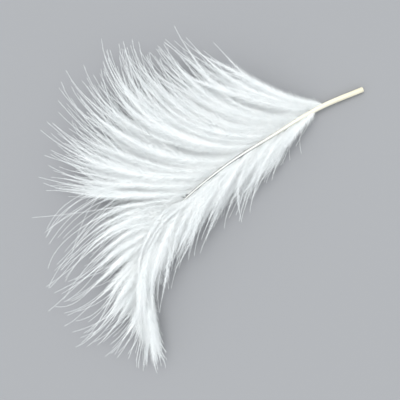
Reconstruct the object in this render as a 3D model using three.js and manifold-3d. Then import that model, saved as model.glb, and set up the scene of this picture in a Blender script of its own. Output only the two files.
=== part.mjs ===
// A white marabou feather from a turkey, lying on a flat surface. It grew as one piece, so it is one
// solid: a bare cut quill that runs on as a thin curved shaft, with locks of down fused along both
// sides. Millimetres, +Z up. +X runs from the cut end of the quill to the tip. The wide vane is on -Y.
import * as THREE from 'three';
import { mergeVertices } from 'three/addons/utils/BufferGeometryUtils.js';
import Module from 'manifold-3d';

// The shaft: points on its centre line, with z the height of the line above the surface.
const SHAFT_POINTS = [
  [0, 0, 0.9],
  [13, -7.4, 2.0],
  [30, -14.2, 4.0],
  [48.5, -20.8, 5.6],
  [64, -24.4, 6.2],
  [76, -25.6, 6.0],
  [86.5, -23.8, 5.2],
  [93.5, -19.8, 4.5],
  [99, -15.2, 3.9],
  [104.5, -9.4, 3.4],
];
const QUILL_RADIUS = 0.88;
const SHAFT_TIP_RADIUS = 0.22;
const SHAFT_TAPER = 1.3;
const SHAFT_STEPS = 30;
const SHAFT_SIDES = 8;

// Each vane is made of tracts of locks. A tract's guides say how its locks grow from stations along
// the shaft, as shares of its length: how long a lock is, the angle at which it leaves the shaft's
// line, the angle to that line at which its tip ends, and by how much its middle is turned further.
// Negative angles turn back to the shaft. The locks take turns in layers, from 0 on the surface to 1,
// which arches over the top.
const VANE_LAYERS = [1, 0, 0.6, 0.25, 0.82];
const RIDGE_LAYERS = [0.7, 0.6, 0.78];
const TRACTS = [
  // The upper part of the wide vane, which curves away from the shaft.
  {
    side: -1,
    locks: 25,
    layers: VANE_LAYERS,
    guides: [
      { station: 0.13, length: 50, leave: 28, tip: 70, bow: 0 },
      { station: 0.24, length: 60, leave: 18, tip: 96, bow: 0 },
      { station: 0.35, length: 63, leave: 16, tip: 104, bow: 0 },
      { station: 0.46, length: 57, leave: 22, tip: 84, bow: 0 },
      { station: 0.58, length: 46, leave: 40, tip: 52, bow: 0 },
    ],
  },
  // The lower part of the wide vane, which droops and turns out again at its tips.
  {
    side: -1,
    locks: 17,
    layers: VANE_LAYERS,
    guides: [
      { station: 0.6, length: 50, leave: 78, tip: -16, bow: -3 },
      { station: 0.66, length: 46, leave: 76, tip: -12, bow: -10 },
      { station: 0.72, length: 41, leave: 52, tip: 26, bow: -24 },
      { station: 0.78, length: 36, leave: 45, tip: 56, bow: -30 },
      { station: 0.84, length: 31, leave: 38, tip: 52, bow: -16 },
      { station: 0.91, length: 22, leave: 16, tip: 56, bow: 0 },
      { station: 0.97, length: 18, leave: 14, tip: 4, bow: 0 },
    ],
  },
  // The narrow vane, swept along the shaft.
  {
    side: 1,
    locks: 28,
    layers: VANE_LAYERS,
    guides: [
      { station: 0.16, length: 26, leave: 16, tip: 34, bow: 0 },
      { station: 0.26, length: 32, leave: 18, tip: 38, bow: 0 },
      { station: 0.38, length: 36, leave: 18, tip: 36, bow: 0 },
      { station: 0.52, length: 38, leave: 15, tip: 40, bow: 0 },
      { station: 0.66, length: 36, leave: 14, tip: 44, bow: 0 },
      { station: 0.8, length: 29, leave: 12, tip: 28, bow: 0 },
      { station: 0.97, length: 17, leave: 8, tip: 4, bow: 0 },
    ],
  },
  // The ridge, which closes over the shaft on its way to the tip.
  {
    side: 1,
    locks: 8,
    layers: RIDGE_LAYERS,
    guides: [
      { station: 0.44, length: 40, leave: 10, tip: 10, bow: 0 },
      { station: 0.6, length: 36, leave: 4, tip: 26, bow: 0 },
      { station: 0.78, length: 32, leave: 2, tip: 20, bow: 0 },
      { station: 0.92, length: 22, leave: 0, tip: 2, bow: 0 },
    ],
  },
];

// A lock's width and the height of its arch are shares of its length, which varies about its guides'.
const ARCH_SHARE = 0.16;
const ARCH_SPAN = 0.82;
const SETTLED_BY = 0.42;
const WIDTH_SHARE = 0.115;
const LOCK_THICKNESS = 1.7;
const FLATTENED_BY = 0.12;
const RAGGED_BY = 0.09;
const RAGGED_TURN = 2.4;
const LOCK_STEPS = 7;
const LOCK_SIDES = 4;
const LOCK_PROFILE_PEAK = 0.55;
const ROOT_SHARE = 0.16;
const WALK_STEPS = 40;

// The block of surface under the feather, more than wide enough to flatten all of it.
const SURFACE_WIDTH = 400;
const SURFACE_DEPTH = 20;

const DOWN_COLOUR = '#e9ecec';
const DOWN_ROUGHNESS = 0.9;

const UP = new THREE.Vector3(0, 0, 1);
const shaft = new THREE.CatmullRomCurve3(SHAFT_POINTS.map((point) => new THREE.Vector3(...point)));
const wasm = await Module();
wasm.setup();

function radians(degrees) {
  return THREE.MathUtils.degToRad(degrees);
}

// A guide's numbers at a station between two guides of a tract.
function guideAt(guides, station) {
  const next = Math.max(1, guides.findIndex((guide) => guide.station >= station));
  const [before, after] = [guides[next - 1], guides[next]];
  const share = (station - before.station) / (after.station - before.station);
  const between = (name) => THREE.MathUtils.lerp(before[name], after[name], share);
  return { length: between('length'), leave: between('leave'), tip: between('tip'), bow: between('bow') };
}

// The height of a lock's centre line, a share of the way along it. Layer 0 sinks to the surface and
// lies there, and layer 1 arches over it.
function lockHeight(rootHeight, length, layer, share) {
  const lowest = LOCK_THICKNESS / 2 - FLATTENED_BY;
  const sunk = THREE.MathUtils.lerp(rootHeight, lowest, THREE.MathUtils.smoothstep(share, 0, SETTLED_BY));
  const arched = rootHeight + ARCH_SHARE * length * Math.sin(Math.PI * ARCH_SPAN * share);
  return THREE.MathUtils.lerp(sunk, arched, layer);
}

// The centre line of a lock: it leaves the shaft and turns from one heading to the other.
function lockPath(side, station, { length, leave, tip, bow }, layer) {
  const root = shaft.getPointAt(station);
  const line = shaft.getTangentAt(station);
  const shaftHeading = Math.atan2(line.y, line.x);
  const points = [root.clone()];
  const at = root.clone();
  for (let step = 1; step <= WALK_STEPS; step += 1) {
    const share = (step - 0.5) / WALK_STEPS;
    const turn = THREE.MathUtils.lerp(leave, tip, share) + 4 * bow * share * (1 - share);
    const heading = shaftHeading + side * radians(turn);
    at.x += (Math.cos(heading) * length) / WALK_STEPS;
    at.y += (Math.sin(heading) * length) / WALK_STEPS;
    at.z = lockHeight(root.z, length, layer, step / WALK_STEPS);
    points.push(at.clone());
  }
  return new THREE.CatmullRomCurve3(points);
}

// A closed spindle of unit length and unit radius along +Y, pointed or flat at its ends.
function spindle(steps, sides, radiusAt) {
  const profile = [new THREE.Vector2(0, 0)];
  for (let step = 0; step <= steps; step += 1) {
    const radius = radiusAt(step / steps);
    if (radius > 0) profile.push(new THREE.Vector2(radius, step / steps));
  }
  profile.push(new THREE.Vector2(0, 1));
  return new THREE.LatheGeometry(profile, sides);
}

// Bends a spindle along a curve. Its x becomes the width across the curve and its z the thickness.
function bend(geometry, curve, width, thickness) {
  const position = geometry.getAttribute('position');
  const across = new THREE.Vector3();
  const upward = new THREE.Vector3();
  for (let i = 0; i < position.count; i += 1) {
    const share = THREE.MathUtils.clamp(position.getY(i), 0, 1);
    const along = curve.getTangentAt(share);
    across.crossVectors(along, UP).normalize();
    upward.crossVectors(across, along);
    const point = curve.getPointAt(share);
    point.addScaledVector(across, position.getX(i) * width);
    point.addScaledVector(upward, position.getZ(i) * thickness);
    position.setXYZ(i, point.x, point.y, point.z);
  }
  return geometry;
}

// The closed mesh of a geometry as a solid, with its seam merged and its collapsed triangles dropped.
function solidOf(geometry) {
  geometry.deleteAttribute('normal');
  geometry.deleteAttribute('uv');
  const merged = mergeVertices(geometry);
  const corners = merged.index.array;
  const triangles = [];
  for (let i = 0; i < corners.length; i += 3) {
    const [a, b, c] = [corners[i], corners[i + 1], corners[i + 2]];
    if (a !== b && b !== c && c !== a) triangles.push(a, b, c);
  }
  return new wasm.Manifold(
    new wasm.Mesh({
      numProp: 3,
      vertProperties: merged.getAttribute('position').array,
      triVerts: new Uint32Array(triangles),
    }),
  );
}

function geometryOf(solid) {
  const mesh = solid.getMesh();
  const geometry = new THREE.BufferGeometry();
  geometry.setAttribute('position', new THREE.BufferAttribute(mesh.vertProperties, 3));
  geometry.setIndex(new THREE.BufferAttribute(mesh.triVerts, 1));
  geometry.computeVertexNormals();
  return geometry;
}

function makeShaft() {
  const radiusAt = (share) => THREE.MathUtils.lerp(QUILL_RADIUS, SHAFT_TIP_RADIUS, share ** SHAFT_TAPER);
  return solidOf(bend(spindle(SHAFT_STEPS, SHAFT_SIDES, radiusAt), shaft, 1, 1));
}

// A lock is a flat spindle, slender at its root, fullest past the middle and pointed at its tip.
function makeLock(side, station, guide, layer) {
  const fullness = (share) => {
    const rising = THREE.MathUtils.smoothstep(share, 0, LOCK_PROFILE_PEAK);
    const falling = 1 - THREE.MathUtils.smoothstep(share, LOCK_PROFILE_PEAK, 1);
    return share === 1 ? 0 : Math.min(THREE.MathUtils.lerp(ROOT_SHARE, 1, rising), falling);
  };
  const body = spindle(LOCK_STEPS, LOCK_SIDES, fullness);
  const width = WIDTH_SHARE * guide.length;
  return solidOf(bend(body, lockPath(side, station, guide, layer), width / 2, LOCK_THICKNESS / 2));
}

function makeFeather() {
  let solid = makeShaft();
  for (const tract of TRACTS) {
    const first = tract.guides[0].station;
    const last = tract.guides[tract.guides.length - 1].station;
    for (let i = 0; i < tract.locks; i += 1) {
      const station = THREE.MathUtils.lerp(first, last, i / (tract.locks - 1));
      const guide = guideAt(tract.guides, station);
      guide.length *= 1 + RAGGED_BY * Math.sin(RAGGED_TURN * i);
      const layer = tract.layers[i % tract.layers.length];
      solid = solid.add(makeLock(tract.side, station, guide, layer));
    }
  }
  return solid;
}

// The down that lies on the surface is flat there.
function flattenUnder(solid) {
  const below = new THREE.BoxGeometry(SURFACE_WIDTH, SURFACE_WIDTH, SURFACE_DEPTH);
  below.translate(0, 0, -SURFACE_DEPTH / 2);
  return solid.subtract(solidOf(below));
}

const geometry = geometryOf(flattenUnder(makeFeather()));
geometry.computeBoundingBox();
const middle = geometry.boundingBox.getCenter(new THREE.Vector3());
const material = new THREE.MeshStandardMaterial({
  color: DOWN_COLOUR,
  roughness: DOWN_ROUGHNESS,
  metalness: 0,
});
const mesh = new THREE.Mesh(geometry, material);
mesh.name = 'feather';
mesh.position.set(-middle.x, -middle.y, 0);

const feather = new THREE.Group();
feather.add(mesh);

export default feather;
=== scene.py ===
import math

import bpy
import numpy as np
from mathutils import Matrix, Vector


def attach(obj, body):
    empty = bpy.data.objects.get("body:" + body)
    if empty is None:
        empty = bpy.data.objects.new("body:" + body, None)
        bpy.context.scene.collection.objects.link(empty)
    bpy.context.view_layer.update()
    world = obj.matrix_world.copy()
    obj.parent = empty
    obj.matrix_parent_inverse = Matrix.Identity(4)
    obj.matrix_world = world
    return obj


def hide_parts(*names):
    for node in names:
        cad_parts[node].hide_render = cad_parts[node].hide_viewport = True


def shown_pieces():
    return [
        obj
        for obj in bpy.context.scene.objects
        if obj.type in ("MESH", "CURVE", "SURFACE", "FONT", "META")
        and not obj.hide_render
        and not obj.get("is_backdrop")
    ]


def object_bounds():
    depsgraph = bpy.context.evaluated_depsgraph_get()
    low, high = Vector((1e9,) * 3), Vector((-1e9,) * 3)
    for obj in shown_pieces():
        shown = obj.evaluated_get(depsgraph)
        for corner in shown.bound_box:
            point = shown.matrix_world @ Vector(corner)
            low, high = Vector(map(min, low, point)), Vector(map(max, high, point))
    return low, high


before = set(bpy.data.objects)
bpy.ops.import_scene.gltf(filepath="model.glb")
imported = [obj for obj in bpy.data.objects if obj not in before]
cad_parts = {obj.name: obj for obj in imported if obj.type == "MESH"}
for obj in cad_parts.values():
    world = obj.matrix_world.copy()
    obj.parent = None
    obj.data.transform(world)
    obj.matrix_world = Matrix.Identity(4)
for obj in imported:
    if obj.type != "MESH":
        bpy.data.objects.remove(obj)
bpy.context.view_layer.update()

# A white marabou feather from a turkey. The quill and shaft are one piece of keratin. The down is mesh
# too: every barb is a thin tapered core, and every barbule on it a narrow pointed blade. All lengths are
# in metres unless a name says otherwise.
MM = 0.001
UP = np.array([0.0, 0.0, 1.0])
SEED = 41
rng = np.random.default_rng(SEED)

# The shaft's centre line in millimetres from the cut end of the quill, with its height above the surface.
SHAFT_POINTS_MM = [
    (0, 0, 0.9),
    (13, -7.4, 2.0),
    (30, -14.2, 4.0),
    (48.5, -20.8, 5.6),
    (64, -24.4, 6.2),
    (76, -25.6, 6.0),
    (86.5, -23.8, 5.2),
    (93.5, -19.8, 4.5),
    (99, -15.2, 3.9),
    (104.5, -9.4, 3.4),
]
SHAFT_SAMPLES = 400
STEPS_PER_SAMPLE = 4
QUILL_RADIUS = 0.88 * MM
SHAFT_TIP_RADIUS = 0.1 * MM
SHAFT_TAPER = 1.3
SHAFT_SIDES = 20
SHAFT_RINGS = 110

# The cut end of the CAD quill is found as the corners within so many radii of its lowest x.
QUILL_END_RADII = 2.3
CORNER_DIGITS = 7

# The hollow in the cut end of the quill. Its profile runs from its bottom to its mouth, as shares of its
# depth and radius.
HOLLOW_DEPTH = 7 * MM
HOLLOW_RADIUS = 0.55 * MM
HOLLOW_PROFILE = [(1.0, 0.0), (1.0, 0.5), (0.6, 0.9), (0.0, 1.0)]
RIM_BEVEL = 0.06 * MM

# The down grows in tracts. A tract's guides are (station on the shaft as a share of its length, length
# in mm, angle at which a barb leaves the shaft's line, angle to that line at which its tip ends, and how
# much further its middle is turned, in degrees). Its barbs grow in tufts and the tufts in locks. The
# locks take turns in layers, from 0 on the surface to 1 over the top. The shortest barb is a share of
# its guides' length, and the barbules of a barb are at their full length as far as "full" says and at
# their shortest from there on, as shares of its length.
WIDE_SIDE = -1
NARROW_SIDE = 1
LAYERS = (1, 0, 0.6, 0.25, 0.82)
TUFTS_PER_LOCK = 3
TRACTS = [
    {
        "name": "wide_vane_upper",
        "side": WIDE_SIDE,
        "locks": 25,
        "barbs": 5,
        "pieces": 3,
        "shortest": 0.68,
        "clump": 0.5,
        "full": (0.5, 0.95),
        "guides": [
            (0.13, 50, 28, 70, 0),
            (0.24, 60, 18, 96, 0),
            (0.35, 63, 16, 104, 0),
            (0.46, 57, 22, 84, 0),
            (0.58, 46, 40, 52, 0),
        ],
    },
    {
        "name": "wide_vane_lower",
        "side": WIDE_SIDE,
        "locks": 17,
        "barbs": 4,
        "pieces": 1,
        "shortest": 0.22,
        "clump": 0.65,
        "full": (0.24, 0.68),
        "guides": [
            (0.60, 50, 78, -16, -3),
            (0.66, 46, 76, -12, -10),
            (0.72, 41, 52, 26, -24),
            (0.78, 36, 45, 56, -30),
            (0.84, 31, 38, 52, -16),
            (0.91, 22, 16, 56, 0),
            (0.97, 18, 14, 4, 0),
        ],
    },
    {
        "name": "narrow_vane",
        "side": NARROW_SIDE,
        "locks": 28,
        "barbs": 3,
        "pieces": 2,
        "shortest": 0.7,
        "clump": 0.35,
        "full": (0.5, 0.95),
        "guides": [
            (0.16, 26, 16, 34, 0),
            (0.26, 32, 18, 38, 0),
            (0.38, 36, 18, 36, 0),
            (0.52, 38, 15, 40, 0),
            (0.66, 36, 14, 44, 0),
            (0.80, 29, 12, 28, 0),
            (0.97, 17, 8, 4, 0),
        ],
    },
]

# Barbs: the longest as a share of its guides' length, and how strongly the rest tend to be long.
LONGEST = 1.03
LENGTH_SKEW = 1.5
# A barb on top arches by a share of its length over a share of half a wave. One at the bottom has sunk
# to the surface by a share of its length.
ARCH_SHARE = 0.16
ARCH_SPAN = 0.82
SETTLED_BY = 0.42
LOWEST = 0.35 * MM
# A barb sways to and fro in so many waves, more towards its tip.
SWAY_WAVES = 1.1
SWAY_GROWTH = 1.4
# The vane's edge is ragged: the locks' lengths rise and fall by a share, turning so far from lock to lock.
RAGGED_BY = 0.09
RAGGED_TURN = 2.4
# How far a tuft keeps to its lock's layer, the share of tufts whose tips are drawn together, how far the
# others are at most, and from where along the barbs.
LOCK_LAYERING = 0.3
CLUMPED_SHARE = 0.3
LOOSE_CLUMP = 0.25
CLUMPS_FROM = 0.62
STRAY_SHARE = 0.035

# How far tufts and barbs spread about their guides. Stations spread by shares of the space between locks.
TUFT_STATION_SPREAD = 0.1
TUFT_LENGTH_SPREAD = 0.02
TUFT_TURN_SPREAD_DEG = 5
TUFT_SWAY_SPREAD_DEG = 7
BARB_STATION_SPREAD = 0.25
BARB_LAYER_SPREAD = 0.12
BARB_SWAY_SPREAD_DEG = 7
BARB_PHASE_SPREAD = 0.15
BARB_LEAVE_SPREAD_DEG = 2.5
BARB_TIP_SPREAD_DEG = 7
STRAY_TIP_SPREAD_DEG = 14
# How far past a tract's first and last guides its barbs may stand, as shares of the shaft.
PAST_FIRST = 0.01
PAST_LAST = 0.02

# The ridge: the last barbs of the narrow vane, which close over the shaft and end in two points.
RIDGE_BARBS = 110
RIDGE_FIRST = 0.40
RIDGE_LAST = 0.96
RIDGE_REACH = 14.5 * MM
RIDGE_HEADING_DEG = 43.5
RIDGE_SINK = 0.12
RIDGE_KNOT_STEP = 20
RIDGE_LENGTHS = (26 * MM, 42 * MM)
RIDGE_END_SPREAD = 0.6
RIDGE_SIDE_RUN = (1.6 * MM, 5.5 * MM)
RIDGE_OPENS_OVER = 9 * MM
RIDGE_CLOSES = (0.54, 0.70)
RIDGE_NARROWS_FROM = 0.78
RIDGE_HALF_WIDTHS = (2.9 * MM, 0.6 * MM)
RIDGE_SPLIT = 1.9 * MM
RIDGE_SPLIT_RUN = 13 * MM
RIDGE_WAVE = 0.25 * MM
RIDGE_WAVE_RUN = 4.5 * MM
RIDGE_WAVE_TURN = 6.3
RIDGE_LIFT = (0.6 * MM, 2.7 * MM)
RIDGE_ROUNDING = 0.9
RIDGE_TIP_DROP = 0.5
RIDGE_FULL = (0.6, 1.0)
RIDGE_BARBULE_LENGTH = 1.3 * MM

# Barbs that grow on their own, as (side, station, length in mm, angle on leaving, angle at the tip,
# layer): one long stray between the wide vane's tracts, and short wisps at the narrow vane's foot.
SINGLE_BARBS = [
    (WIDE_SIDE, 0.60, 50, 36, 36, 0.9),
    (NARROW_SIDE, 0.165, 8, 58, 20, 0.2),
    (NARROW_SIDE, 0.178, 13, 30, 74, 0.1),
    (NARROW_SIDE, 0.190, 10, 62, 30, 0.3),
    (NARROW_SIDE, 0.204, 14, 26, 66, 0.15),
    (NARROW_SIDE, 0.220, 15, 48, 34, 0.25),
    (NARROW_SIDE, 0.236, 13, 30, 70, 0.1),
]
SINGLE_FULL = (0.1, 0.6)
SINGLE_SWAY_SPREAD_DEG = 4

# A barb's core.
BARB_STEPS = 20
BARB_SIDES = 3
BARB_RADIUS = 0.055 * MM
BARB_TIP_RADIUS = 0.016 * MM
BARB_TAPER = 0.8

# The barbules on it. They open wider and are broader where they are at their full length.
BARBULES_PER_MM = 22
BARBULE_LENGTH = 3.0 * MM
BARBULE_TIP_LENGTH = 0.45 * MM
BARBULE_LENGTH_SHARES = (0.5, 1.15)
BARBULE_WIDTH = 0.055 * MM
BARBULE_LEAST_WIDTH = 0.6
BARBULE_OPENING_DEG = 22
BARBULE_WIDER_BY_DEG = 18
BARBULE_OPENING_SPREAD_DEG = 7
BARBULE_ROLL_SPREAD = 0.75
BARBULE_FACING_SPREAD = 0.35
BARE_ROOT = 0.03
FLOOR_GAP = 0.02 * MM

# The shaft shows between the vanes up to this share of its length, and barbules keep clear of it.
SHAFT_SHOWS_TO = (0.58, 0.66)
SHAFT_GAP = 0.45 * MM
SHAFT_SEARCH_STEP = 4
LEAST_ROOM = 0.08 * MM

# Colours, as stops of (position, red, green, blue). The down's tones are its soft patches. Its fade from a
# barb's
# root to its tip is painted light: the roots are painted whiter to lift the shade in the hollow beside the
# shaft, and the tips are greyer.
DOWN_PATCH_SCALE = 260
DOWN_PATCH_DETAIL = 3
DOWN_TONES = [(0.3, 0.92, 0.935, 0.935), (0.7, 0.985, 0.99, 0.985)]
DOWN_PAINTED_LIGHT_FADE = [(0.0, 0.985, 0.995, 0.99), (0.4, 0.955, 0.968, 0.966), (1.0, 0.77, 0.785, 0.79)]
DOWN_ROUGHNESS = 0.75
DOWN_SPECULAR = 0.25

# The quill's streaks are stretched along it. It pales, and its edges darken, over shares of its length.
# The dark edges are partly the shaft's own darker rim and partly painted shadow from the vanes beside it.
# Its edges' stops run from the narrow vane's side to the wide vane's.
QUILL_STRETCH = (3.0, 3.0, 9.0)
QUILL_STREAK_SCALE = 1.6
QUILL_STREAK_DETAIL = 5
QUILL_CREAM = [(0.25, 0.60, 0.555, 0.40), (0.55, 0.74, 0.70, 0.55), (0.8, 0.82, 0.80, 0.69)]
QUILL_PALE = [(0.25, 0.74, 0.74, 0.70), (0.8, 0.90, 0.90, 0.87)]
QUILL_PALES = (0.06, 0.4)
QUILL_DARK_EDGES_AND_SHADOW = [
    (0.0, 0.18, 0.19, 0.20),
    (0.30, 0.25, 0.26, 0.27),
    (0.42, 1, 1, 1),
    (0.62, 1, 1, 1),
    (0.76, 0.38, 0.39, 0.40),
    (1.0, 0.31, 0.32, 0.33),
]
QUILL_EDGE_SHADOW_SPAN = (0.2, 0.42)
QUILL_ROUGHNESS = [(0.3, 0.42, 0.42, 0.42), (0.7, 0.30, 0.30, 0.30)]

# The picture: the feather seen from straight above, turned as it lies in the photograph.
FEATHER_HEADING_DEG = 232.5
FRAME_FILL = 0.88
LENS_MM = 85
SENSOR_MM = 36

# The studio: a pale floor, a wide soft light from the upper left of the picture, and an even sky.
FLOOR_HALF_WIDTH = 4.0
FLOOR_COLOUR = (0.286, 0.2905, 0.2995, 1)
FLOOR_ROUGHNESS = 0.9
KEY_STRENGTH = 1.4
KEY_SPREAD_DEG = 40
KEY_ABOVE = 0.40
KEY_LEFT = 0.30
SKY_STRENGTH = 1.22
SKY_COLOUR = (0.95, 0.975, 1.0, 1)


def smoothstep(value, low, high):
    share = np.clip((value - low) / (high - low), 0, 1)
    return share * share * (3 - 2 * share)


def between(low, high, share):
    return low + (high - low) * share


def unit(vectors):
    return vectors / np.linalg.norm(vectors, axis=-1, keepdims=True)


def run_lengths(points):
    """The distance along a line of points at each of them."""
    steps = np.linalg.norm(np.diff(points, axis=0), axis=1)
    return np.concatenate([[0], np.cumsum(steps)])


def at_runs(points, places, wanted):
    """The values of a line's points at the wanted places along it."""
    return np.stack([np.interp(wanted, places, column) for column in points.T], axis=-1)


def smooth_line(points, count):
    """A smooth curve through a few points, as many points evenly along it."""
    knots = run_lengths(points)
    slopes = np.gradient(points, knots, axis=0)
    along = np.linspace(0, knots[-1], STEPS_PER_SAMPLE * count)
    before = np.clip(np.searchsorted(knots, along, side="right") - 1, 0, len(knots) - 2)
    span = (knots[before + 1] - knots[before])[:, None]
    share = (along - knots[before])[:, None] / span
    rise = share * share * (3 - 2 * share)
    leaving = share * (1 - share) ** 2 * span * slopes[before]
    reaching = share * share * (share - 1) * span * slopes[before + 1]
    fine = points[before] * (1 - rise) + points[before + 1] * rise + leaving + reaching
    runs = run_lengths(fine)
    return at_runs(fine, runs, np.linspace(0, runs[-1], count))


def quill_end():
    """The middle of the quill's cut end, which is the end of the CAD feather with the lowest x."""
    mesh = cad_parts["feather"].data
    corners = np.empty(3 * len(mesh.vertices))
    mesh.vertices.foreach_get("co", corners)
    corners = np.unique(corners.reshape(-1, 3).round(CORNER_DIGITS), axis=0)
    lowest = corners[corners[:, 0].argmin()]
    ring = corners[np.linalg.norm(corners - lowest, axis=1) < QUILL_END_RADII * QUILL_RADIUS]
    return ring.mean(axis=0)


def shaft_line():
    points = np.array(SHAFT_POINTS_MM) * MM
    return smooth_line(points - points[0], SHAFT_SAMPLES) + quill_end()


SHAFT = shaft_line()
SHAFT_TANGENTS = unit(np.gradient(SHAFT, axis=0))
SHAFT_SHARES = np.linspace(0, 1, SHAFT_SAMPLES)


def shaft_radius(share):
    return between(QUILL_RADIUS, SHAFT_TIP_RADIUS, share**SHAFT_TAPER)


def mesh_object(name, vertices, faces, material):
    """A mesh piece of the feather from an array of corners and one of triangles."""
    mesh = bpy.data.meshes.new(name)
    mesh.vertices.add(len(vertices))
    mesh.vertices.foreach_set("co", vertices.astype(np.float32).ravel())
    mesh.loops.add(faces.size)
    mesh.loops.foreach_set("vertex_index", faces.astype(np.int32).ravel())
    mesh.polygons.add(len(faces))
    mesh.polygons.foreach_set("loop_start", np.arange(0, faces.size, 3, dtype=np.int32))
    mesh.polygons.foreach_set("use_smooth", np.ones(len(faces), dtype=bool))
    mesh.update(calc_edges=True)
    mesh.materials.append(material)
    piece = bpy.data.objects.new(name, mesh)
    bpy.context.scene.collection.objects.link(piece)
    return piece


def place(piece):
    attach(piece, "root")
    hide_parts("feather")
    return piece


def ring_faces(rings, sides):
    """Triangles between rings of corners, for corners numbered ring by ring."""
    ring, side = np.meshgrid(np.arange(rings - 1), np.arange(sides), indexing="ij")
    following = (side + 1) % sides
    a = ring * sides + side
    b = ring * sides + following
    c = (ring + 1) * sides + following
    d = (ring + 1) * sides + side
    return np.concatenate([np.stack([a, b, c], -1).reshape(-1, 3), np.stack([a, c, d], -1).reshape(-1, 3)])


def frames_of(lines):
    """The forward, sideways and upward directions at each point of an array of lines."""
    forward = unit(np.gradient(lines, axis=-2))
    sideways = unit(np.cross(forward, UP))
    return forward, sideways, np.cross(sideways, forward)


def guide_at(guides, stations):
    """The length and angles that a tract's guides give at stations on the shaft."""
    table = np.array(guides, dtype=float)
    return at_runs(table[:, 1:], table[:, 0], stations).T


def walk(stations, side, length, leave, tip, bow, layer, sway, phase):
    """The centre lines of barbs that leave the shaft and turn from one heading to another."""
    roots = at_runs(SHAFT, SHAFT_SHARES, stations)
    ahead = at_runs(SHAFT_TANGENTS, SHAFT_SHARES, stations)
    share = np.linspace(0, 1, BARB_STEPS + 1)
    middle = (share[1:] + share[:-1]) / 2
    turn = between(leave[:, None], tip[:, None], middle) + bow[:, None] * 4 * middle * (1 - middle)
    wave = np.sin(2 * math.pi * (SWAY_WAVES * middle + phase[:, None])) * middle**SWAY_GROWTH
    turn = turn + sway[:, None] * wave
    heading = np.arctan2(ahead[:, 1], ahead[:, 0])[:, None] + side * np.radians(turn)
    step = (length / BARB_STEPS)[:, None]
    lines = np.repeat(roots[:, None, :], BARB_STEPS + 1, axis=1)
    lines[:, 1:, 0] += np.cumsum(np.cos(heading) * step, axis=1)
    lines[:, 1:, 1] += np.cumsum(np.sin(heading) * step, axis=1)
    height = roots[:, 2:]
    sunk = between(height, LOWEST, smoothstep(share, 0, SETTLED_BY))
    arched = height + ARCH_SHARE * length[:, None] * np.sin(math.pi * ARCH_SPAN * share)
    lines[:, :, 2] = np.maximum(between(sunk, arched, layer[:, None]), LOWEST)
    return lines


def grow(tract):
    """The barbs of a tract. Each follows its guides, and in some tufts their tips are drawn together."""
    guides, side, locks = tract["guides"], tract["side"], tract["locks"]
    first, last = guides[0][0], guides[-1][0]
    spacing = (last - first) / (locks - 1)

    lock = np.repeat(np.arange(locks), TUFTS_PER_LOCK)
    tufts = len(lock)
    shift = (np.tile(np.arange(TUFTS_PER_LOCK), locks) + 0.5) / TUFTS_PER_LOCK - 0.5
    tuft_station = first + spacing * (lock + shift + rng.normal(0, TUFT_STATION_SPREAD, tufts))
    tuft_station = np.clip(tuft_station, first, last)
    tuft_ragged = 1 + RAGGED_BY * np.sin(RAGGED_TURN * lock) + rng.normal(0, TUFT_LENGTH_SPREAD, tufts)
    tuft_layer = between(rng.uniform(0, 1, tufts), np.array(LAYERS)[lock % len(LAYERS)], LOCK_LAYERING)
    tuft_turn = rng.normal(0, TUFT_TURN_SPREAD_DEG, tufts)
    tuft_sway = rng.normal(0, TUFT_SWAY_SPREAD_DEG, tufts)
    tuft_phase = rng.uniform(0, 1, tufts)
    clumped = rng.uniform(0, 1, tufts) < CLUMPED_SHARE
    tuft_clump = np.where(clumped, tract["clump"], rng.uniform(0, LOOSE_CLUMP, tufts))

    tuft = np.repeat(np.arange(tufts), tract["barbs"])
    count = len(tuft)
    station = tuft_station[tuft] + spacing * rng.normal(0, BARB_STATION_SPREAD, count)
    station = np.clip(station, first - PAST_FIRST, last + PAST_LAST)
    length, leave, tip, bow = guide_at(guides, station)
    length = length * MM * tuft_ragged[tuft]
    length = length * between(LONGEST, tract["shortest"], rng.uniform(0, 1, count) ** LENGTH_SKEW)
    layer = np.clip(tuft_layer[tuft] + rng.normal(0, BARB_LAYER_SPREAD, count), 0, 1)
    sway = tuft_sway[tuft] + rng.normal(0, BARB_SWAY_SPREAD_DEG, count)
    phase = tuft_phase[tuft] + rng.normal(0, BARB_PHASE_SPREAD, count)
    stray = rng.uniform(0, 1, count) < STRAY_SHARE
    leave = leave + rng.normal(0, BARB_LEAVE_SPREAD_DEG, count)
    tip = tip + tuft_turn[tuft] + rng.normal(0, BARB_TIP_SPREAD_DEG, count)
    tip = tip + np.where(stray, rng.normal(0, STRAY_TIP_SPREAD_DEG, count), 0)
    free = walk(station, side, length, leave, tip, bow, layer, sway, phase)

    led_leave, led_tip, led_bow = guide_at(guides, tuft_station[tuft])[1:]
    led_tip = led_tip + tuft_turn[tuft]
    led = walk(tuft_station[tuft], side, length, led_leave, led_tip, led_bow, tuft_layer[tuft], sway, phase)
    clump = np.where(stray, 0, tuft_clump[tuft])
    share = np.linspace(0, 1, BARB_STEPS + 1)
    pull = clump[:, None, None] * smoothstep(share, CLUMPS_FROM, 1)[None, :, None]
    return between(free, led, pull)


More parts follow.
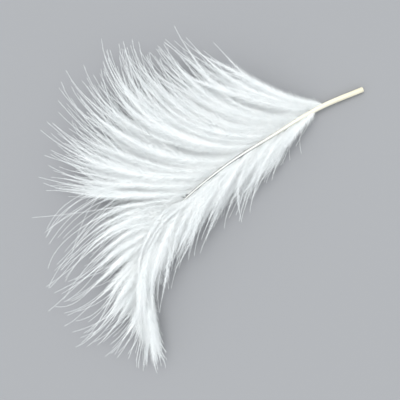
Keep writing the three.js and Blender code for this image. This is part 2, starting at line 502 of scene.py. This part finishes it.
def ridge_lines():
    """Barbs that run beside the shaft, close over it and go on past its tip to two points."""
    heading = math.radians(RIDGE_HEADING_DEG)
    beyond = SHAFT[-1] + RIDGE_REACH * np.array([math.cos(heading), math.sin(heading), -RIDGE_SINK])
    knots = np.concatenate([SHAFT[::RIDGE_KNOT_STEP], SHAFT[-1:], beyond[None]])
    spine = smooth_line(knots, SHAFT_SAMPLES)
    runs = run_lengths(spine)
    shaft_run = run_lengths(SHAFT)[-1]
    tip_run = shaft_run + RIDGE_REACH
    count = RIDGE_BARBS
    begin = shaft_run * np.linspace(RIDGE_FIRST, RIDGE_LAST, count)
    reach = begin + rng.uniform(*RIDGE_LENGTHS, count)
    end = np.minimum(reach, shaft_run + RIDGE_REACH * (1 - RIDGE_END_SPREAD * rng.uniform(0, 1, count)))
    share = np.linspace(0, 1, BARB_STEPS + 1)
    run = between(begin[:, None], end[:, None], share)
    middle = at_runs(spine, runs, run.ravel()).reshape(count, -1, 3)
    ahead = unit(at_runs(np.gradient(spine, axis=0), runs, run.ravel()).reshape(count, -1, 3))
    sideways = unit(np.cross(ahead, UP))

    across = rng.permutation(np.linspace(-1, 1, count))[:, None]
    opened = smoothstep(run - begin[:, None], 0, RIDGE_OPENS_OVER)
    closed = smoothstep(run / shaft_run, *RIDGE_CLOSES)
    beside = rng.uniform(*RIDGE_SIDE_RUN, count)[:, None] * opened * (1 - closed)
    narrowed = smoothstep(run, RIDGE_NARROWS_FROM * shaft_run, tip_run)
    half_width = between(RIDGE_HALF_WIDTHS[0], RIDGE_HALF_WIDTHS[1], narrowed)
    split = RIDGE_SPLIT * smoothstep(run, tip_run - RIDGE_SPLIT_RUN, tip_run) * np.sign(across)
    over = across * half_width * opened * closed + split
    phase = RIDGE_WAVE_TURN * rng.uniform(0, 1, count)[:, None]
    wave = RIDGE_WAVE * np.sin(run / RIDGE_WAVE_RUN + phase) * share
    lift = between(RIDGE_LIFT[0], RIDGE_LIFT[1], rng.uniform(0, 1, count))[:, None]
    rise = lift * opened * np.sqrt(1 - RIDGE_ROUNDING * across**2) * (1 - RIDGE_TIP_DROP * narrowed)
    lines = middle - sideways * (beside + over + wave)[:, :, None]
    lines[:, :, 2] = np.maximum(lines[:, :, 2] + rise, LOWEST)
    return lines


def single_lines(side):
    """The barbs that grow on their own on one side of the shaft."""
    chosen = np.array([row[1:] for row in SINGLE_BARBS if row[0] == side], dtype=float)
    station, length, leave, tip, layer = chosen.T
    sway = rng.normal(0, SINGLE_SWAY_SPREAD_DEG, len(chosen))
    phase = rng.uniform(0, 1, len(chosen))
    return walk(station, side, length * MM, leave, tip, 0 * tip, layer, sway, phase)


def cores(lines):
    """Thin three-sided tapered tubes along the barbs."""
    _, sideways, upward = frames_of(lines)
    share = np.linspace(0, 1, lines.shape[1])
    radius = between(BARB_RADIUS, BARB_TIP_RADIUS, share**BARB_TAPER)
    angles = 2 * math.pi * np.arange(BARB_SIDES) / BARB_SIDES + math.pi / 2
    spokes = (
        sideways[:, :, None, :] * np.cos(angles)[None, None, :, None]
        + upward[:, :, None, :] * np.sin(angles)[None, None, :, None]
    )
    vertices = lines[:, :, None, :] + spokes * radius[None, :, None, None]
    per_barb = lines.shape[1] * BARB_SIDES
    faces = ring_faces(lines.shape[1], BARB_SIDES)[None] + (per_barb * np.arange(len(lines)))[:, None, None]
    shares = np.tile(np.repeat(share, BARB_SIDES), len(lines))
    return vertices.reshape(-1, 3), faces.reshape(-1, 3), shares


def room_beside_shaft(lines):
    """How much room there is to the shaft's side at each point, where the shaft is to show."""
    gaps = lines[:, :, None, :2] - SHAFT[None, None, ::SHAFT_SEARCH_STEP, :2]
    distance = np.linalg.norm(gaps, axis=-1)
    share = SHAFT_SHARES[::SHAFT_SEARCH_STEP][distance.argmin(axis=-1)]
    covered = smoothstep(share, *SHAFT_SHOWS_TO)
    return distance.min(axis=-1) - shaft_radius(share) - SHAFT_GAP + BARBULE_LENGTH * covered


def barbules(lines, side, full, longest):
    """Fine pointed blades that spread from the barbs on both sides, short at the roots and tips."""
    forward, sideways, upward = frames_of(lines)
    lengths = np.linalg.norm(np.diff(lines, axis=1), axis=2).sum(axis=1)
    counts = (lengths / MM * BARBULES_PER_MM).astype(int)
    barb = np.repeat(np.arange(len(lines)), counts)
    total = len(barb)
    first = np.repeat(np.cumsum(counts) - counts, counts)
    share = (np.arange(total) - first + rng.uniform(0, 1, total)) / counts[barb]
    step = share * BARB_STEPS
    before = np.minimum(step.astype(int), BARB_STEPS - 1)
    part = (step - before)[:, None]

    def along(values):
        return between(values[barb, before], values[barb, before + 1], part)

    root = along(lines)
    ahead = unit(along(forward))
    sidelong = unit(along(sideways))
    above = unit(along(upward))
    room = along(room_beside_shaft(lines)[:, :, None])[:, 0]
    fullness = smoothstep(share, 0, BARE_ROOT) * (1 - smoothstep(share, *full))
    length = between(BARBULE_TIP_LENGTH, longest, fullness) * rng.uniform(*BARBULE_LENGTH_SHARES, total)
    roll = rng.normal(0, BARBULE_ROLL_SPREAD, total) + math.pi * rng.integers(0, 2, total)
    outward = sidelong * np.cos(roll)[:, None] + above * np.sin(roll)[:, None]
    opening_deg = BARBULE_OPENING_DEG + BARBULE_WIDER_BY_DEG * fullness
    opening = np.radians(opening_deg + rng.normal(0, BARBULE_OPENING_SPREAD_DEG, total))
    to_shaft = side * np.cos(roll) * np.sin(opening) * length
    length = length * np.clip(np.maximum(room, LEAST_ROOM) / np.maximum(to_shaft, LEAST_ROOM), 0, 1)
    way = ahead * np.cos(opening)[:, None] + outward * np.sin(opening)[:, None]
    facing = UP + rng.normal(0, BARBULE_FACING_SPREAD, (total, 3))
    half_width = 0.5 * BARBULE_WIDTH * between(BARBULE_LEAST_WIDTH, 1, fullness)
    breadth = unit(np.cross(way, facing)) * half_width[:, None]
    vertices = np.stack([root - breadth, root + breadth, root + way * length[:, None]], 1)
    faces = np.arange(3 * total).reshape(-1, 3)
    return vertices.reshape(-1, 3), faces, np.repeat(share, 3)


def down_piece(name, lines, side, full, material, longest=BARBULE_LENGTH):
    """A piece of down: the cores and barbules of some barbs, each marked with its place along its barb."""
    core_vertices, core_faces, core_shares = cores(lines)
    blade_vertices, blade_faces, blade_shares = barbules(lines, side, full, longest)
    vertices = np.concatenate([core_vertices, blade_vertices])
    vertices[:, 2] = np.maximum(vertices[:, 2], FLOOR_GAP)
    faces = np.concatenate([core_faces, blade_faces + len(core_vertices)])
    piece = mesh_object(name, vertices, faces, material)
    along = piece.data.attributes.new("along", "FLOAT", "POINT")
    along.data.foreach_set("value", np.concatenate([core_shares, blade_shares]).astype(np.float32))
    return place(piece)


def shaft_piece(material):
    """The quill and shaft: hollow at the cut end, round, and tapered to a hair at the tip."""
    runs = run_lengths(SHAFT)
    shares = np.linspace(0, 1, SHAFT_RINGS)[1:]
    hollow = np.array(HOLLOW_PROFILE) * (HOLLOW_DEPTH, HOLLOW_RADIUS)
    rim = [(0.0, QUILL_RADIUS - RIM_BEVEL), (RIM_BEVEL, QUILL_RADIUS)]
    outside = np.stack([shares * runs[-1], shaft_radius(shares)], -1)
    depths, radii = np.concatenate([hollow, rim, outside, [(runs[-1], 0.0)]]).T
    middle = at_runs(SHAFT, runs, depths)
    forward = unit(at_runs(SHAFT_TANGENTS, runs, depths))
    sideways = unit(np.cross(forward, UP))
    upward = np.cross(sideways, forward)
    angles = 2 * math.pi * np.arange(SHAFT_SIDES) / SHAFT_SIDES
    spokes = (
        sideways[:, None, :] * np.cos(angles)[None, :, None]
        + upward[:, None, :] * np.sin(angles)[None, :, None]
    )
    vertices = (middle[:, None, :] + spokes * radii[:, None, None]).reshape(-1, 3)
    vertices[:, 2] = np.maximum(vertices[:, 2], FLOOR_GAP)
    piece = mesh_object("shaft", vertices, ring_faces(len(middle), SHAFT_SIDES), material)

    # The grain: across and up around the shaft, and the share of the way along it.
    grain = np.empty((len(depths), SHAFT_SIDES, 3))
    grain[:, :, 0] = np.cos(angles)
    grain[:, :, 1] = np.sin(angles)
    grain[:, :, 2] = (depths / runs[-1])[:, None]
    layer = piece.data.attributes.new("grain", "FLOAT_VECTOR", "POINT")
    layer.data.foreach_set("vector", grain.astype(np.float32).ravel())
    return place(piece)


def new_material(name):
    material = bpy.data.materials.new(name)
    material.use_nodes = True
    tree = material.node_tree
    return material, tree, tree.nodes["Principled BSDF"]


def add_attribute(tree, name):
    attribute = tree.nodes.new("ShaderNodeAttribute")
    attribute.attribute_name = name
    return attribute


def add_ramp(tree, source, stops):
    """A colour ramp on a value: stops are (position, red, green, blue)."""
    ramp = tree.nodes.new("ShaderNodeValToRGB")
    elements = ramp.color_ramp.elements
    while len(elements) < len(stops):
        elements.new(0.5)
    for element, (position, *colour) in zip(elements, stops):
        element.position = position
        element.color = (*colour, 1)
    tree.links.new(source, ramp.inputs["Fac"])
    return ramp.outputs["Color"]


def add_noise(tree, source, scale, detail):
    noise = tree.nodes.new("ShaderNodeTexNoise")
    noise.inputs["Scale"].default_value = scale
    noise.inputs["Detail"].default_value = detail
    tree.links.new(source, noise.inputs["Vector"])
    return noise.outputs["Fac"]


def add_range(tree, source, low, high):
    """A value that goes from 0 to 1 as its source goes from low to high."""
    rising = tree.nodes.new("ShaderNodeMapRange")
    rising.inputs["From Min"].default_value = low
    rising.inputs["From Max"].default_value = high
    tree.links.new(source, rising.inputs["Value"])
    return rising.outputs["Result"]


def add_mix(tree, kind, first, second, factor=None):
    """Two colours mixed by a factor from another node, or in full where there is none."""
    mix = tree.nodes.new("ShaderNodeMix")
    mix.data_type = "RGBA"
    mix.blend_type = kind
    if factor is None:
        mix.inputs["Factor"].default_value = 1
    else:
        tree.links.new(factor, mix.inputs["Factor"])
    tree.links.new(first, mix.inputs["A"])
    tree.links.new(second, mix.inputs["B"])
    return mix.outputs["Result"]


def down_material():
    """White down, mottled in soft patches and dull, with painted light: whiter at the roots to lift the
    shade beside the shaft, greyer to the tips.
    """
    material, tree, shader = new_material("down")
    spot = tree.nodes.new("ShaderNodeTexCoord").outputs["Object"]
    patches = add_noise(tree, spot, DOWN_PATCH_SCALE, DOWN_PATCH_DETAIL)
    tone = add_ramp(tree, patches, DOWN_TONES)
    # Painted light: the roots are painted whiter to lift the shade beside the shaft, fading greyer to the
    # tips.
    painted_light_fade = add_ramp(tree, add_attribute(tree, "along").outputs["Fac"], DOWN_PAINTED_LIGHT_FADE)
    tree.links.new(add_mix(tree, "MULTIPLY", tone, painted_light_fade), shader.inputs["Base Color"])
    shader.inputs["Roughness"].default_value = DOWN_ROUGHNESS
    shader.inputs["Specular IOR Level"].default_value = DOWN_SPECULAR
    return material


def quill_material():
    """Cream keratin with fine streaks and a soft gloss, paler further along the shaft, where its edges are
    darkened: partly its own darker rim, partly painted shadow from the vanes.
    """
    material, tree, shader = new_material("quill")
    grain = add_attribute(tree, "grain").outputs["Vector"]
    stretch = tree.nodes.new("ShaderNodeMapping")
    stretch.inputs["Scale"].default_value = QUILL_STRETCH
    tree.links.new(grain, stretch.inputs["Vector"])
    streaks = add_noise(tree, stretch.outputs["Vector"], QUILL_STREAK_SCALE, QUILL_STREAK_DETAIL)
    split = tree.nodes.new("ShaderNodeSeparateXYZ")
    tree.links.new(grain, split.inputs["Vector"])

    cream = add_ramp(tree, streaks, QUILL_CREAM)
    pale = add_ramp(tree, streaks, QUILL_PALE)
    paling = add_range(tree, split.outputs["Z"], *QUILL_PALES)
    body = add_mix(tree, "MIX", cream, pale, paling)
    # The dark edges: partly the shaft's own darker rim, partly painted shadow where the vanes meet the
    # shaft.
    across = add_range(tree, split.outputs["X"], -1, 1)
    edge_tone_and_shadow = add_ramp(tree, across, QUILL_DARK_EDGES_AND_SHADOW)
    edge_shadow_share = add_range(tree, split.outputs["Z"], *QUILL_EDGE_SHADOW_SPAN)
    shaded = add_mix(tree, "MULTIPLY", body, edge_tone_and_shadow, edge_shadow_share)
    tree.links.new(shaded, shader.inputs["Base Color"])
    tree.links.new(add_ramp(tree, streaks, QUILL_ROUGHNESS), shader.inputs["Roughness"])
    return material


def floor_material():
    material, _, shader = new_material("floor")
    shader.inputs["Base Color"].default_value = FLOOR_COLOUR
    shader.inputs["Roughness"].default_value = FLOOR_ROUGHNESS
    return material


def make_feather():
    down = down_material()
    for tract in TRACTS:
        for number, lines in enumerate(np.array_split(grow(tract), tract["pieces"]), 1):
            down_piece(f"{tract['name']}_{number}", lines, tract["side"], tract["full"], down)
    down_piece("tip_ridge", ridge_lines(), NARROW_SIDE, RIDGE_FULL, down, RIDGE_BARBULE_LENGTH)
    down_piece("stray_barb", single_lines(WIDE_SIDE), WIDE_SIDE, SINGLE_FULL, down)
    down_piece("foot_wisps", single_lines(NARROW_SIDE), NARROW_SIDE, SINGLE_FULL, down)
    shaft_piece(quill_material())


def make_camera():
    """A camera straight above that holds the whole feather. Returns the picture's right and upward."""
    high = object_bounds()[1]
    turn = math.radians(360 - FEATHER_HEADING_DEG)
    right = np.array([math.cos(turn), math.sin(turn)])
    above = np.array([-math.sin(turn), math.cos(turn)])
    corners = []
    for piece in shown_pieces():
        flat = np.empty(3 * len(piece.data.vertices))
        piece.data.vertices.foreach_get("co", flat)
        corners.append(flat.reshape(-1, 3)[:, :2])
    corners = np.concatenate(corners)
    spans = [corners @ axis for axis in (right, above)]
    middle = sum(axis * (span.min() + span.max()) / 2 for axis, span in zip((right, above), spans))
    width = max(span.max() - span.min() for span in spans) / FRAME_FILL
    data = bpy.data.cameras.new("camera")
    data.lens = LENS_MM
    data.sensor_width = SENSOR_MM
    camera = bpy.data.objects.new("camera", data)
    camera.location = (middle[0], middle[1], high.z / 2 + width * LENS_MM / SENSOR_MM)
    camera.rotation_euler = (0, 0, turn)
    bpy.context.scene.collection.objects.link(camera)
    bpy.context.scene.camera = camera
    return right, above


def make_stage(right, above):
    """The floor, the key light and the sky, for the picture's right and upward directions."""
    edge = FLOOR_HALF_WIDTH
    corners = [(-edge, -edge, 0), (edge, -edge, 0), (edge, edge, 0), (-edge, edge, 0)]
    mesh = bpy.data.meshes.new("floor")
    mesh.from_pydata(corners, [], [(0, 1, 2, 3)])
    mesh.materials.append(floor_material())
    floor = bpy.data.objects.new("floor", mesh)
    bpy.context.scene.collection.objects.link(floor)
    floor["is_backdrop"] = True

    data = bpy.data.lights.new("key", "SUN")
    data.energy = KEY_STRENGTH
    data.angle = math.radians(KEY_SPREAD_DEG)
    key = bpy.data.objects.new("key", data)
    source = KEY_ABOVE * above - KEY_LEFT * right
    key.rotation_euler = Vector((-source[0], -source[1], -1.0)).to_track_quat("-Z", "Y").to_euler()
    bpy.context.scene.collection.objects.link(key)

    world = bpy.data.worlds.new("studio")
    world.use_nodes = True
    background = world.node_tree.nodes["Background"]
    background.inputs["Color"].default_value = SKY_COLOUR
    background.inputs["Strength"].default_value = SKY_STRENGTH
    bpy.context.scene.world = world
    bpy.context.scene.view_settings.view_transform = "Standard"


make_feather()
make_stage(*make_camera())
